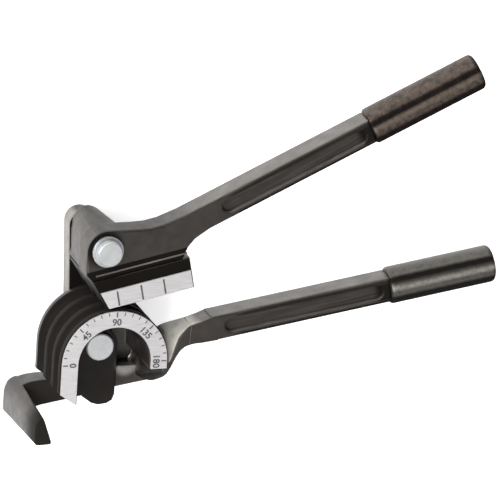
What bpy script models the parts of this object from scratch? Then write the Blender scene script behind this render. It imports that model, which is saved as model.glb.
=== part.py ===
"""Three-groove lever tube bender, modelled in metres with the pivot axis along Z.

The origin lies on the die's axis, in the plane of the link's back face. +Z runs to the
scale side, +X towards the handles' ends and +Y from the die to the upper pin.
"""

from math import asin, atan2, cos, pi, radians, sin, tan

import bmesh
import bpy
from mathutils import Matrix, Vector

MM = 0.001

# Running gap between neighbouring pieces, gap under a seated plate, and how far a cutter passes
GAP = 0.3 * MM
SEAT_GAP = 0.15 * MM
OVERRUN = 2.0 * MM
ROUND_SEGMENTS = 40
FINE_SEGMENTS = 24

# Forming die: tube sizes from back to front, flange radius and walls
TUBE_DIAMETERS = [9.53 * MM, 7.94 * MM, 6.35 * MM]
FLANGE_RADIUS = 25.0 * MM
FLANGE_WALL = 2.9 * MM
RIDGE_WALL = 3.2 * MM
RIM_THICKNESS = 8.5 * MM
RIGHT_DROP = 3.7 * MM
LEG_LENGTH = 13.5 * MM
LEG_POINT_DROP = 5.8 * MM
GROOVE_POINTS = 8
ARC_STEPS = 30
CORNER_STEPS = 3
CORNER_LIMIT_SHARE = 0.45

# Link plate behind the die
LINK_THICKNESS = 9.0 * MM
LINK_LOW_RADIUS = 10.0 * MM
LINK_HIGH_RADIUS = 6.5 * MM
LINK_EDGE = 0.8 * MM
UPPER_PIN_X = -6.0 * MM
UPPER_PIN_RISE = 27.6 * MM

# Pins, bushes, washers and retaining rings
PIN_RADIUS = 4.2 * MM
PIN_TAIL_RADIUS = 3.2 * MM
PIN_HEAD_EDGE = 0.5 * MM
MAIN_HEAD_RADIUS = 6.3 * MM
MAIN_HEAD_HEIGHT = 2.4 * MM
UPPER_HEAD_RADIUS = 5.8 * MM
UPPER_HEAD_HEIGHT = 3.6 * MM
COLLAR_RADIUS = 7.2 * MM
COLLAR_HEIGHT = 1.0 * MM
BUSH_WALL = 1.0 * MM
WASHER_THICKNESS = 0.9 * MM
RING_THICKNESS = 0.9 * MM
RING_WALL = 1.2 * MM
RING_GAP_DEG = 70.0
POCKET_RADIUS = 5.2 * MM
RING_GROOVE_DEPTH = 0.6 * MM

# Hub web inside the die
HUB_FRONT_DEPTH = 22.7 * MM
HUB_RIGHT = 8.6 * MM
LUG_SHARES = [
    (-0.52, -0.70), (-0.25, -0.965), (-0.08, -1.09), (0.04, -1.125), (0.20, -1.11), (0.30, -1.05), (0.34, -0.94),
]

# Spine under the die
SPINE_FRONT_DEPTH = 24.7 * MM
SPINE_TOP = 11.0 * MM
SPINE_HEIGHT = 9.8 * MM
SPINE_SLOPE_DEG = 9.0
SPINE_END_X = 28.0 * MM
SPINE_STEP = 0.5 * MM

# Hook arm and nose, with shares of the flange radius
ARM_THICKNESS = 11.0 * MM
ARM_SHARES = [
    (0.16, -0.52), (-0.45, -0.55), (-0.62, -0.78), (-0.87, -0.775), (-1.09, -0.795), (-1.25, -0.845),
    (-1.30, -0.95), (-1.30, -1.39), (-1.16, -1.35), (-0.92, -1.255), (-0.42, -1.17), (0.06, -1.08),
    (0.16, -0.96),
]
NOSE_BACK_SHARES = [
    (-1.20, -0.81), (-1.30, -0.84), (-1.39, -0.90), (-1.45, -1.06), (-1.45, -1.47), (-1.37, -1.49),
    (-1.20, -1.385),
]
NOSE_TIP_SHARES = [
    (-1.27, -0.97), (-1.32, -0.97), (-1.38, -1.00), (-1.42, -1.12), (-1.42, -1.42), (-1.39, -1.48),
    (-1.09, -1.47),
]
NOSE_REACH = 1.5 * MM
NOSE_ROUND = 1.6 * MM
HOOK_EDGE = 0.4 * MM
HOOK_STEP = 0.1 * MM

# Handle bars, both flush with the die's front face
BAR_THICKNESS = 12.0 * MM
BAR_HEIGHT = 11.6 * MM
BAR_EDGE = 0.9 * MM
LOWER_BAR_DEG = 9.6
LOWER_BAR_OFFSET = 5.7 * MM
LOWER_BAR_START = 48.0 * MM
LOWER_BAR_END = 130.0 * MM
UPPER_BAR_DEG = 25.9
UPPER_BAR_DROP = 5.7 * MM
UPPER_BAR_END = 128.0 * MM

# Long pocket in both sides of each bar
POCKET_DEPTH = 2.2 * MM
POCKET_RIM = 2.3 * MM
POCKET_END_SPACE = 3.0 * MM
LOWER_POCKET_START = 52.0 * MM
UPPER_POCKET_START = 52.0 * MM

# Grips
GRIP_RADIUS = 8.4 * MM
GRIP_CORE_RADIUS = 5.6 * MM
GRIP_END_WALL = 4.0 * MM
GRIP_EDGE = 0.8 * MM
GRIP_ROUND = 2.2 * MM
LOWER_GRIP_LENGTH = 49.6 * MM
UPPER_GRIP_LENGTH = 55.6 * MM

# Neck between the lower bar and the die
NECK_ROOT = 2.0 * MM
NECK_STEP = 0.4 * MM
NECK_ROUND = 2.5 * MM
HORN_FOOT_SHARES = [
    (0.72, -0.62), (1.03, -0.77), (1.31, -0.69), (1.45, -0.44), (1.49, -0.24), (1.47, -0.04),
    (1.38, 0.06), (1.27, 0.10), (1.12, 0.105), (1.00, 0.096), (0.88, 0.04), (0.80, -0.24),
]
HORN_WAIST_SHARES = [
    (0.72, -0.62), (1.03, -0.77), (1.31, -0.69), (1.45, -0.44), (1.505, -0.20), (1.50, 0.0),
    (1.42, 0.20), (1.32, 0.28), (1.19, 0.28), (1.04, 0.27), (0.88, 0.20), (0.80, -0.16),
]
HORN_SHOULDER_SHARES = [
    (0.82, -0.40), (1.02, -0.52), (1.19, -0.42), (1.31, -0.18), (1.43, 0.04), (1.64, 0.24),
    (1.64, 0.645), (1.40, 0.60), (1.17, 0.545), (0.945, 0.49), (0.895, 0.20), (0.86, -0.12),
]
HORN_FRONT_SHARES = [
    (0.90, -0.24), (1.00, -0.27), (1.076, -0.13), (1.172, 0.11), (1.336, 0.24), (1.66, 0.30),
    (1.66, 0.70), (1.376, 0.62), (1.196, 0.424), (1.116, 0.19), (1.048, -0.06), (0.92, -0.12),
]
NECK_SHARES = [(1.40, 0.27), (1.62, 0.28), (1.64, 0.69), (1.42, 0.62)]
FLOOR_THICKNESS = 2.0 * MM

# Upper head, with shares of its end radius
HEAD_END_RADIUS = 9.4 * MM
HEAD_BACK_WIDTH = 11.0 * MM
HEAD_NOTCH_SHARE = 0.93
NOTCH_SHARES = [(0.04, 0.12), (0.17, 0.45), (0.42, 0.76), (0.66, 0.93)]
NOTCH_BAR_SHARE = 0.34
TOP_BAR_SHARE = 0.27
HEAD_TOP_SHARES = [(2.75, 1.18), (2.1, 1.03), (1.5, 1.0)]
HEAD_CORNER_SHARES = [(-1.0, -0.95), (-0.97, -1.21)]
BLOCK_BACK_SHARES = [
    (1.12, -0.60), (1.05, 0.20), (0.66, 0.80), (0.12, 1.02), (-0.30, 0.80), (-0.55, 0.46), (-0.61, 0.0),
    (-0.57, -1.18),
]
BLOCK_FRONT_SHARES = [
    (1.20, -0.60), (1.20, 0.30), (0.98, 0.84), (0.40, 1.00), (-0.52, 0.85), (-0.90, 0.48), (-0.99, 0.0),
    (-0.96, -1.19),
]
HEAD_ROUND = 2.0 * MM

# Forming shoe
SHOE_DEG = 12.0
SHOE_CLEARANCE = 0.4 * MM
SHOE_START = 1.0 * MM
SHOE_END_DEG = 18.5
SHOE_LENGTH = 42.0 * MM
SHOE_HEIGHT = 14.6 * MM
SHOE_EDGE = 0.7 * MM

# Scale plates
SCALE_THICKNESS = 0.8 * MM
SCALE_MARGIN = 0.5 * MM
SHOE_SCALE_MARGIN = 0.8 * MM
SHOE_SCALE_HEIGHT = 8.2 * MM

# Shoe screws
SHOE_SCREW_RADIUS = 1.4 * MM
SHOE_SCREW_HEAD_RADIUS = 2.6 * MM
SHOE_SCREW_HEAD_HEIGHT = 2.4 * MM
SHOE_SCREW_DEPTH = 4.6 * MM
SHOE_SCREW_SINK = 0.4 * MM
SHOE_SCREW_NEAR_SHARE = 0.1
SHOE_SCREW_FAR_SHARE = 0.62

# Places that follow from the sizes above
DIE_BACK = LINK_THICKNESS + GAP
CAVITY_RADIUS = FLANGE_RADIUS - RIM_THICKNESS
GROOVE_LAND = 2 * FLANGE_WALL + 2 * RIDGE_WALL
DIE_FRONT = DIE_BACK + GROOVE_LAND + sum(TUBE_DIAMETERS)
BAR_BACK = DIE_FRONT - BAR_THICKNESS
BAR_MIDDLE = DIE_FRONT - BAR_THICKNESS / 2
HUB_FRONT = DIE_FRONT - HUB_FRONT_DEPTH
SPINE_FRONT = DIE_FRONT - SPINE_FRONT_DEPTH
SHOE_PLANE = FLANGE_RADIUS + SHOE_CLEARANCE
UPPER_PIN = Vector((UPPER_PIN_X, SHOE_PLANE + UPPER_PIN_RISE))
UPPER_BAR_OFFSET = UPPER_PIN.y - UPPER_BAR_DROP
TAIL_HOLE_RADIUS = PIN_TAIL_RADIUS + GAP
PIN_HOLE_RADIUS = PIN_RADIUS + GAP
BUSH_RADIUS = PIN_HOLE_RADIUS + BUSH_WALL
BUSH_HOLE_RADIUS = BUSH_RADIUS + GAP
POCKET_FLOOR = WASHER_THICKNESS + RING_THICKNESS + 3 * GAP

BLACK_STEEL = ((0.045, 0.038, 0.036), 0.42, 0.85)
BRIGHT_ZINC = ((0.78, 0.80, 0.82), 0.28, 1.0)
SCALE_ALUMINIUM = ((0.74, 0.73, 0.75), 0.38, 0.9)
BRONZE = ((0.42, 0.28, 0.14), 0.4, 1.0)
DARK_GRIP = ((0.055, 0.042, 0.036), 0.75, 0.0)
SPRING_STEEL = ((0.25, 0.25, 0.26), 0.35, 1.0)


def clear_scene():
    """Remove every object that the open scene holds."""
    for old in list(bpy.data.objects):
        bpy.data.objects.remove(old, do_unlink=True)


def make_material(name, finish):
    """A Principled material from a colour, a roughness and a metallic value."""
    colour, roughness, metallic = finish
    material = bpy.data.materials.new(name)
    material.use_nodes = True
    shader = material.node_tree.nodes["Principled BSDF"]
    shader.inputs["Base Color"].default_value = (*colour, 1.0)
    shader.inputs["Roughness"].default_value = roughness
    shader.inputs["Metallic"].default_value = metallic
    return material


def new_object(name, bm, finish=None):
    """Turn a bmesh into a named object, with its own material when it is a piece."""
    bmesh.ops.recalc_face_normals(bm, faces=bm.faces)
    mesh = bpy.data.meshes.new(name)
    bm.to_mesh(mesh)
    bm.free()
    mesh.shade_smooth()
    mesh.set_sharp_from_angle(angle=radians(30))
    obj = bpy.data.objects.new(name, mesh)
    bpy.context.scene.collection.objects.link(obj)
    if finish:
        mesh.materials.append(make_material(name, finish))
    else:
        obj.hide_render = True
        obj.display_type = "WIRE"
    return obj


def loft(name, sections, finish=None, edge=0.0):
    """A solid through sections, each an outline and its height, with optional bevelled end rims."""
    bm = bmesh.new()
    rings = [[bm.verts.new((x, y, z)) for x, y in outline] for outline, z in sections]
    count = len(rings[0])
    bm.faces.new(list(reversed(rings[0])))
    bm.faces.new(rings[-1])
    for low, high in zip(rings, rings[1:]):
        for i in range(count):
            j = (i + 1) % count
            bm.faces.new((low[i], low[j], high[j], high[i]))
    if edge:
        bmesh.ops.recalc_face_normals(bm, faces=bm.faces)
        ends = set(rings[0] + rings[-1])
        rims = [e for e in bm.edges if ends.issuperset(e.verts) and e.verts[0].co.z == e.verts[1].co.z]
        bmesh.ops.bevel(bm, geom=rims, offset=edge, segments=2, affect="EDGES", profile=0.5)
    return new_object(name, bm, finish)


def prism(name, outline, z0, z1, finish=None, edge=0.0):
    """A solid of one outline between two heights."""
    return loft(name, [(outline, z0), (outline, z1)], finish, edge)


def circle(centre, radius, segments=ROUND_SEGMENTS, start=0.0, sweep=2 * pi):
    """Points on a circle or, with a shorter sweep, on an arc with both its ends."""
    full = abs(sweep - 2 * pi) < 1e-6
    steps = segments if full else segments + 1
    return [
        (centre[0] + radius * cos(start + sweep * i / segments),
         centre[1] + radius * sin(start + sweep * i / segments))
        for i in range(steps)
    ]


def turned(name, centre, profile, finish=None, closed=False, segments=ROUND_SEGMENTS):
    """A solid of revolution about a vertical axis from (radius, height) points."""
    bm = bmesh.new()
    rings = []
    for radius, height in profile:
        rings.append([bm.verts.new((x, y, height)) for x, y in circle(centre, radius, segments)])
    count = len(rings)
    for k in range(count if closed else count - 1):
        a, b = rings[k], rings[(k + 1) % count]
        for i in range(segments):
            j = (i + 1) % segments
            bm.faces.new((a[i], a[j], b[j], b[i]))
    if not closed:
        bm.faces.new(rings[0])
        bm.faces.new(rings[-1])
    return new_object(name, bm, finish)


def cut(target, tool, operation="DIFFERENCE"):
    """Cut a tool from a target, or join it with UNION."""
    step = target.modifiers.new(tool.name, "BOOLEAN")
    step.operation = operation
    step.object = tool
    step.solver = "EXACT"
    tool.hide_render = True
    tool.display_type = "WIRE"
    return target


def join(target, tool):
    """Join a tool to a target."""
    return cut(target, tool, "UNION")


def cylinder(name, centre, radius, z0, z1, finish=None, edge=0.0):
    """A round bar along Z, with an optional chamfer on its upper rim."""
    profile = [(radius, z0), (radius, z1)]
    if edge:
        profile = [(radius, z0), (radius, z1 - edge), (radius - edge, z1)]
    return turned(name, centre, profile, finish)


def tube(name, centre, outer, inner, z0, z1, finish=None):
    """A round sleeve along Z."""
    profile = [(outer, z0), (outer, z1), (inner, z1), (inner, z0)]
    return turned(name, centre, profile, finish, closed=True)


def place(obj, point, direction):
    """Stand an object that was built along Z on a point, facing a direction."""
    obj.rotation_mode = "QUATERNION"
    obj.rotation_quaternion = Vector((0, 0, 1)).rotation_difference(Vector(direction))
    obj.location = point
    return obj


def pivot(name, centre, pieces, parent=None):
    """An empty on a joint's axis that carries the pieces turning about it."""
    empty = bpy.data.objects.new(name, None)
    bpy.context.scene.collection.objects.link(empty)
    empty.location = (centre[0], centre[1], 0)
    if parent:
        empty.parent = parent
        empty.location = Vector((centre[0], centre[1], 0)) - parent.location
    offset = Matrix.Translation((-centre[0], -centre[1], 0))
    for piece in pieces:
        piece.parent = empty
        piece.matrix_parent_inverse = offset
    return empty


def tapered_band(low, low_radius, high, high_radius):
    """The outline of a tapered bar with two round ends."""
    along = Vector(high) - Vector(low)
    heading = atan2(along.y, along.x)
    lean = asin((low_radius - high_radius) / along.length)
    half = ROUND_SEGMENTS // 2
    quarter = pi / 2
    points = circle(high, high_radius, half, heading - quarter + lean, pi - 2 * lean)
    points += circle(low, low_radius, half, heading + quarter - lean, pi + 2 * lean)
    return points


def rounded(points, reach):
    """The outline with every corner turned into a short curve."""
    smooth = []
    count = len(points)
    for i in range(count):
        corner = Vector(points[i])
        for other, order in ((points[i - 1], 1), (points[(i + 1) % count], -1)):
            side = Vector(other) - corner
            start = corner + side * min(CORNER_LIMIT_SHARE, reach / side.length)
            if order == 1:
                first = start
            else:
                last = start
        for k in range(CORNER_STEPS + 1):
            t = k / CORNER_STEPS
            smooth.append(first * (1 - t) ** 2 + corner * 2 * t * (1 - t) + last * t ** 2)
    return [tuple(p) for p in smooth]


def along_bar(angle_deg, offset, distance, side=0.0):
    """A point on a handle's line, measured from where the line crosses the Y axis."""
    angle = radians(angle_deg)
    return (distance * cos(angle) - side * sin(angle),
            offset + distance * sin(angle) + side * cos(angle))


def along_shoe(distance, height):
    """A point by distance along the shoe and height above the die's axis."""
    angle = radians(SHOE_DEG)
    return (distance * cos(angle) - height * sin(angle),
            distance * sin(angle) + height * cos(angle))


def shoe_near_end(height, inset=0.0):
    """A point on the shoe's slanted near end, at a height above the die's axis."""
    return along_shoe(SHOE_START + inset - (height - SHOE_PLANE) * tan(radians(SHOE_END_DEG)), height)


def groove_centres():
    """The height of each groove's middle, from back to front."""
    centres = []
    z = DIE_BACK + FLANGE_WALL
    for diameter in TUBE_DIAMETERS:
        centres.append(z + diameter / 2)
        z += diameter + RIDGE_WALL
    return centres


def grooved_edge(rim, direction):
    """Points (height along Z, distance) across three grooves cut from a rim."""
    points = []
    for centre, diameter in zip(groove_centres(), TUBE_DIAMETERS):
        radius = diameter / 2
        for i in range(GROOVE_POINTS + 1):
            angle = pi * i / GROOVE_POINTS
            points.append((centre - radius * cos(angle), rim + direction * radius * sin(angle)))
    return points


def rim_point(station, distance):
    """A point across the die's rim at a share of the way from the right foot to the leg's foot."""
    if station < 0:
        return (distance, -RIGHT_DROP)
    if station > 1:
        inward = (FLANGE_RADIUS - distance) / (FLANGE_RADIUS - CAVITY_RADIUS)
        return (-distance, -LEG_LENGTH - LEG_POINT_DROP * inward)
    return (distance * cos(pi * station), distance * sin(pi * station))


def rim_stations():
    """Shares along the rim: right foot, the half circle and the leg's foot."""
    return [-1] + [i / ARC_STEPS for i in range(ARC_STEPS + 1)] + [2]


def grooved_rim():
    """The die's rim: the three-groove section swept round the half circle and down the leg."""
    section = [(DIE_BACK, CAVITY_RADIUS), (DIE_BACK, FLANGE_RADIUS)]
    section += grooved_edge(FLANGE_RADIUS, -1)
    section += [(DIE_FRONT, FLANGE_RADIUS), (DIE_FRONT, CAVITY_RADIUS)]
    bm = bmesh.new()
    rings = []
    for station in rim_stations():
        rings.append([bm.verts.new((*rim_point(station, w), z)) for z, w in section])
    count = len(section)
    for a, b in zip(rings, rings[1:]):
        for i in range(count):
            j = (i + 1) % count
            bm.faces.new((a[i], a[j], b[j], b[i]))
    bm.faces.new(rings[0])
    bm.faces.new(rings[-1])
    return new_object("forming_die", bm, BLACK_STEEL)


def rim_outline(outer, inner):
    """The flat outline of a band on the die's front face."""
    stations = rim_stations()
    return [rim_point(s, outer) for s in stations] + [rim_point(s, inner) for s in reversed(stations)]


def spine_edge(x, drop):
    """A point on the spine's sloping edge, a drop below the die's axis."""
    return (x, -drop + (x - HUB_RIGHT) * tan(radians(SPINE_SLOPE_DEG)))


def hub_outline():
    """The web inside the die: round over the pin, straight on the right, rounded at the bottom."""
    root = -CAVITY_RADIUS - NECK_ROOT
    points = circle((0, 0), HUB_RIGHT, FINE_SEGMENTS, 0, pi / 2)
    points += [(root, HUB_RIGHT), (root, -LEG_LENGTH)]
    return points + scaled(LUG_SHARES)


def spine_outline():
    """The spine under the die, from behind the lug to the root of the neck."""
    low = SPINE_TOP + SPINE_HEIGHT
    left = -HUB_RIGHT
    bottom = [spine_edge(left, low), spine_edge(SPINE_END_X, low)]
    return bottom + [(SPINE_END_X, -SPINE_TOP), (left, -SPINE_TOP)]


def scaled(shares, unit=FLANGE_RADIUS, centre=(0, 0)):
    """Points from shares of a size, counted from a centre."""
    return [(centre[0] + x * unit, centre[1] + y * unit) for x, y in shares]


def hook_arm():
    """The arm behind the grooves that carries the nose."""
    outline = rounded(scaled(ARM_SHARES), NOSE_ROUND)
    return prism("arm_tool", outline, GAP, GAP + ARM_THICKNESS, edge=HOOK_EDGE)


def hook_nose():
    """The nose that reaches from the arm across all three grooves, leaning in towards its tip."""
    back = rounded(scaled(NOSE_BACK_SHARES), NOSE_ROUND)
    tip = rounded(scaled(NOSE_TIP_SHARES), NOSE_ROUND)
    sections = [(back, GAP - HOOK_STEP), (tip, DIE_FRONT + NOSE_REACH)]
    return loft("nose_tool", sections, edge=HOOK_EDGE)


def horn():
    """The concave horn that grows out of the spine beside the rim and narrows to the front."""
    heights = [DIE_BACK + SPINE_STEP, SPINE_FRONT, BAR_BACK - SPINE_STEP, DIE_FRONT - NECK_STEP]
    shapes = [HORN_FOOT_SHARES, HORN_WAIST_SHARES, HORN_SHOULDER_SHARES, HORN_FRONT_SHARES]
    sections = [(rounded(scaled(shares), NECK_ROUND), z) for shares, z in zip(shapes, heights)]
    return loft("horn_tool", sections)


def neck():
    """The short neck between the horn and the bar."""
    end = [along_bar(LOWER_BAR_DEG, LOWER_BAR_OFFSET, LOWER_BAR_START, side)
           for side in (-BAR_HEIGHT / 2, BAR_HEIGHT / 2)]
    shares = scaled(NECK_SHARES)
    outline = shares[:2] + end + shares[2:]
    return prism("neck_tool", outline, BAR_BACK + GAP, DIE_FRONT - NECK_STEP / 2)


def bar_outline(angle_deg, offset, start, end):
    """A straight bar's outline along its handle's line."""
    half = BAR_HEIGHT / 2
    corners = [(start, -half), (end, -half), (end, half), (start, half)]
    return [along_bar(angle_deg, offset, s, h) for s, h in corners]


def pocket_outline(angle_deg, offset, start, end):
    """The round-ended outline of the long pocket in a bar's side."""
    radius = BAR_HEIGHT / 2 - POCKET_RIM
    heading = radians(angle_deg)
    far = along_bar(angle_deg, offset, end - radius)
    near = along_bar(angle_deg, offset, start + radius)
    points = circle(far, radius, FINE_SEGMENTS // 2, heading - pi / 2, pi)
    return points + circle(near, radius, FINE_SEGMENTS // 2, heading + pi / 2, pi)


def cut_pockets(bar, name, angle_deg, offset, start, end):
    """Sink the long pockets into both sides of a bar."""
    outline = pocket_outline(angle_deg, offset, start, end)
    cut(bar, prism(name + "_front_pocket", outline, DIE_FRONT - POCKET_DEPTH, DIE_FRONT + OVERRUN))
    cut(bar, prism(name + "_back_pocket", outline, BAR_BACK - OVERRUN, BAR_BACK + POCKET_DEPTH))


def bar_direction(angle_deg):
    """The unit vector along a handle."""
    return (cos(radians(angle_deg)), sin(radians(angle_deg)), 0)


def grip_core(name, angle_deg, offset, end, length):
    """The round tang that a grip is pressed on."""
    core = cylinder(name, (0, 0), GRIP_CORE_RADIUS, -OVERRUN, length - GRIP_END_WALL - GAP)
    return place(core, (*along_bar(angle_deg, offset, end), BAR_MIDDLE), bar_direction(angle_deg))


def grip(name, angle_deg, offset, end, length):
    """A grip sleeve with a closed end."""
    bore = GRIP_CORE_RADIUS + GAP
    profile = [
        (bore, length - GRIP_END_WALL), (bore, GAP), (GRIP_RADIUS - GRIP_EDGE, GAP),
        (GRIP_RADIUS, GAP + GRIP_EDGE),
    ]
    profile += circle((GRIP_RADIUS - GRIP_ROUND, length - GRIP_ROUND), GRIP_ROUND, CORNER_STEPS, 0, pi / 2)
    sleeve = turned(name, (0, 0), profile, DARK_GRIP)
    return place(sleeve, (*along_bar(angle_deg, offset, end), BAR_MIDDLE), bar_direction(angle_deg))


def build_forming_die():
    """The grooved die with its hub, spine, hook, neck and lower bar in one casting."""
    die = grooved_rim()
    join(die, prism("hub_tool", hub_outline(), DIE_BACK - SEAT_GAP, HUB_FRONT))
    join(die, cylinder("floor_tool", (0, 0), CAVITY_RADIUS + RIM_THICKNESS / 2,
                       DIE_BACK + SPINE_STEP / 2, DIE_BACK + FLOOR_THICKNESS))
    join(die, prism("spine_tool", spine_outline(), DIE_BACK + 2 * SPINE_STEP, SPINE_FRONT))
    join(die, horn())
    join(die, neck())
    join(die, hook_arm())
    join(die, hook_nose())
    cut(die, cylinder("hub_bore", (0, 0), BUSH_HOLE_RADIUS, DIE_BACK - OVERRUN, HUB_FRONT + OVERRUN))
    join(die, lower_bar())
    return die


def lower_bar():
    """The lower bar with its long pockets and the round tang for its grip."""
    line = (LOWER_BAR_DEG, LOWER_BAR_OFFSET)
    outline = bar_outline(*line, LOWER_BAR_START - OVERRUN, LOWER_BAR_END)
    bar = prism("lower_bar_tool", outline, BAR_BACK, DIE_FRONT, edge=BAR_EDGE)
    cut_pockets(bar, "lower", *line, LOWER_POCKET_START, LOWER_BAR_END - POCKET_END_SPACE)
    join(bar, grip_core("lower_core_tool", *line, LOWER_BAR_END, LOWER_GRIP_LENGTH))
    return bar


def head_outline():
    """The upper handle's front outline: round end over the pin, flat top, bar and notch."""
    px, py = UPPER_PIN
    radius = HEAD_END_RADIUS
    shoe_top = SHOE_PLANE + SHOE_HEIGHT + GAP
    half = BAR_HEIGHT / 2
    notch = along_shoe(HEAD_NOTCH_SHARE * SHOE_LENGTH, shoe_top)
    points = [shoe_near_end(shoe_top), notch]
    points += scaled(NOTCH_SHARES, BAR_HEIGHT, notch)
    bar = (UPPER_BAR_DEG, UPPER_BAR_OFFSET)
    under = [(NOTCH_BAR_SHARE * UPPER_BAR_END, -half), (UPPER_BAR_END, -half)]
    upper = [(UPPER_BAR_END, half), (TOP_BAR_SHARE * UPPER_BAR_END, half)]
    points += [along_bar(*bar, distance, side) for distance, side in under + upper]
    points += scaled(HEAD_TOP_SHARES, radius, (px, py))
    points += circle((px, py), radius, FINE_SEGMENTS // 3, pi / 2, pi / 2)
    points += scaled(HEAD_CORNER_SHARES, radius, (px, py))
    return points


def head_block():
    """The block behind the upper head: full height at the front, drawn in towards the link."""
    shoe_top = SHOE_PLANE + SHOE_HEIGHT + GAP
    sole = [shoe_near_end(shoe_top), along_shoe(HEAD_BACK_WIDTH, shoe_top)]
    back = sole + scaled(BLOCK_BACK_SHARES, HEAD_END_RADIUS, UPPER_PIN)
    front = sole + scaled(BLOCK_FRONT_SHARES, HEAD_END_RADIUS, UPPER_PIN)
    sections = [(rounded(back, HEAD_ROUND), DIE_BACK), (rounded(front, HEAD_ROUND), BAR_BACK + NECK_ROOT)]
    return loft("block_tool", sections)


def build_upper_handle():
    """The upper handle: head, full-depth block at the pin, bar, pockets and round tang."""
    bar = (UPPER_BAR_DEG, UPPER_BAR_OFFSET)
    handle = prism("upper_handle", head_outline(), BAR_BACK, DIE_FRONT, BLACK_STEEL, edge=BAR_EDGE)
    join(handle, head_block())
    cut_pockets(handle, "upper", *bar, UPPER_POCKET_START, UPPER_BAR_END - POCKET_END_SPACE)
    join(handle, grip_core("upper_core_tool", *bar, UPPER_BAR_END, UPPER_GRIP_LENGTH))
    bore = cylinder("head_bore", UPPER_PIN, BUSH_HOLE_RADIUS, DIE_BACK - OVERRUN, DIE_FRONT + OVERRUN)
    cut(handle, bore)
    for number, (distance, height) in enumerate(shoe_screw_places(), 1):
        hole = cylinder(f"head_screw_hole_{number}", (0, 0), SHOE_SCREW_RADIUS + GAP,
                        -OVERRUN, SHOE_SCREW_DEPTH + GAP)
        cut(handle, stand_on_shoe(hole, distance, height, SHOE_HEIGHT))
    return handle


def stand_on_shoe(obj, distance, z, rise):
    """Stand an object on a height above the shoe's lower plane, facing up through the shoe."""
    x, y = along_shoe(distance, SHOE_PLANE + rise)
    angle = radians(SHOE_DEG)
    return place(obj, (x, y, z), (-sin(angle), cos(angle), 0))


def shoe_screw_places():
    """Distance along the shoe and height along Z of the two screws, in the outer grooves."""
    centres = groove_centres()
    near = SHOE_SCREW_NEAR_SHARE * SHOE_LENGTH
    far = SHOE_SCREW_FAR_SHARE * SHOE_LENGTH
    return [(near, centres[0]), (far, centres[-1])]


def build_forming_shoe():
    """The shoe: a block with the die's three grooves in its lower side and a slanted near end."""
    top = SHOE_PLANE + SHOE_HEIGHT
    outline = [shoe_near_end(SHOE_PLANE), along_shoe(SHOE_LENGTH, SHOE_PLANE)]
    outline += [along_shoe(SHOE_LENGTH, top), shoe_near_end(top)]
    shoe = prism("forming_shoe", outline, DIE_BACK, DIE_FRONT, BLACK_STEEL, edge=SHOE_EDGE)
    angle = radians(SHOE_DEG)
    for number, (z, diameter) in enumerate(zip(groove_centres(), TUBE_DIAMETERS), 1):
        start = -SHOE_HEIGHT - OVERRUN
        groove = cylinder(f"shoe_groove_{number}", (0, 0), diameter / 2, 0, SHOE_LENGTH - start + OVERRUN)
        cut(shoe, place(groove, (*along_shoe(start, SHOE_PLANE), z), (cos(angle), sin(angle), 0)))
    for number, (distance, z) in enumerate(shoe_screw_places(), 1):
        floor = groove_floor(z) + SHOE_SCREW_HEAD_HEIGHT + SHOE_SCREW_SINK
        profile = [
            (SHOE_SCREW_HEAD_RADIUS + GAP, -OVERRUN), (SHOE_SCREW_HEAD_RADIUS + GAP, floor + GAP),
            (SHOE_SCREW_RADIUS + GAP, floor + GAP), (SHOE_SCREW_RADIUS + GAP, SHOE_HEIGHT + OVERRUN),
        ]
        hole = turned(f"shoe_screw_hole_{number}", (0, 0), profile)
        cut(shoe, stand_on_shoe(hole, distance, z, 0))
    return shoe


def groove_floor(z):
    """How deep the groove at a height is."""
    centres = groove_centres()
    return TUBE_DIAMETERS[centres.index(z)] / 2


def build_shoe_screw(number, distance, z):
    """A cap screw whose head is sunk below its groove and whose shank enters the head."""
    low = groove_floor(z) + SHOE_SCREW_SINK
    top = low + SHOE_SCREW_HEAD_HEIGHT
    profile = [
        (SHOE_SCREW_HEAD_RADIUS, low), (SHOE_SCREW_HEAD_RADIUS, top), (SHOE_SCREW_RADIUS, top),
        (SHOE_SCREW_RADIUS, SHOE_HEIGHT + SHOE_SCREW_DEPTH),
    ]
    screw = turned(f"shoe_screw_{number}", (0, 0), profile, SPRING_STEEL, segments=FINE_SEGMENTS)
    return stand_on_shoe(screw, distance, z, 0)


def build_degree_scale():
    """The silver scale plate on the die's front face."""
    outline = rim_outline(FLANGE_RADIUS - SCALE_MARGIN, CAVITY_RADIUS + SCALE_MARGIN)
    low = DIE_FRONT + SEAT_GAP
    return prism("degree_scale", outline, low, low + SCALE_THICKNESS, SCALE_ALUMINIUM)


def build_shoe_scale():
    """The silver strip on the shoe's front face."""
    far = SHOE_LENGTH - SHOE_SCALE_MARGIN
    low = SHOE_PLANE + SHOE_SCALE_MARGIN
    high = low + SHOE_SCALE_HEIGHT
    outline = [shoe_near_end(low, SHOE_SCALE_MARGIN), along_shoe(far, low)]
    outline += [along_shoe(far, high), shoe_near_end(high, SHOE_SCALE_MARGIN)]
    z = DIE_FRONT + SEAT_GAP
    return prism("shoe_scale", outline, z, z + SCALE_THICKNESS, SCALE_ALUMINIUM)


def build_link():
    """The link plate with two pin holes, and pockets for the retaining rings in its back."""
    outline = tapered_band((0, 0), LINK_LOW_RADIUS, UPPER_PIN, LINK_HIGH_RADIUS)
    link = prism("link_plate", outline, 0, LINK_THICKNESS, BLACK_STEEL, edge=LINK_EDGE)
    for name, centre in (("main", (0, 0)), ("upper", UPPER_PIN)):
        top = LINK_THICKNESS + OVERRUN
        cut(link, cylinder(f"{name}_link_hole", centre, TAIL_HOLE_RADIUS, -OVERRUN, top))
        cut(link, cylinder(f"{name}_link_pocket", centre, POCKET_RADIUS, -OVERRUN, POCKET_FLOOR))
    return link


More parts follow.
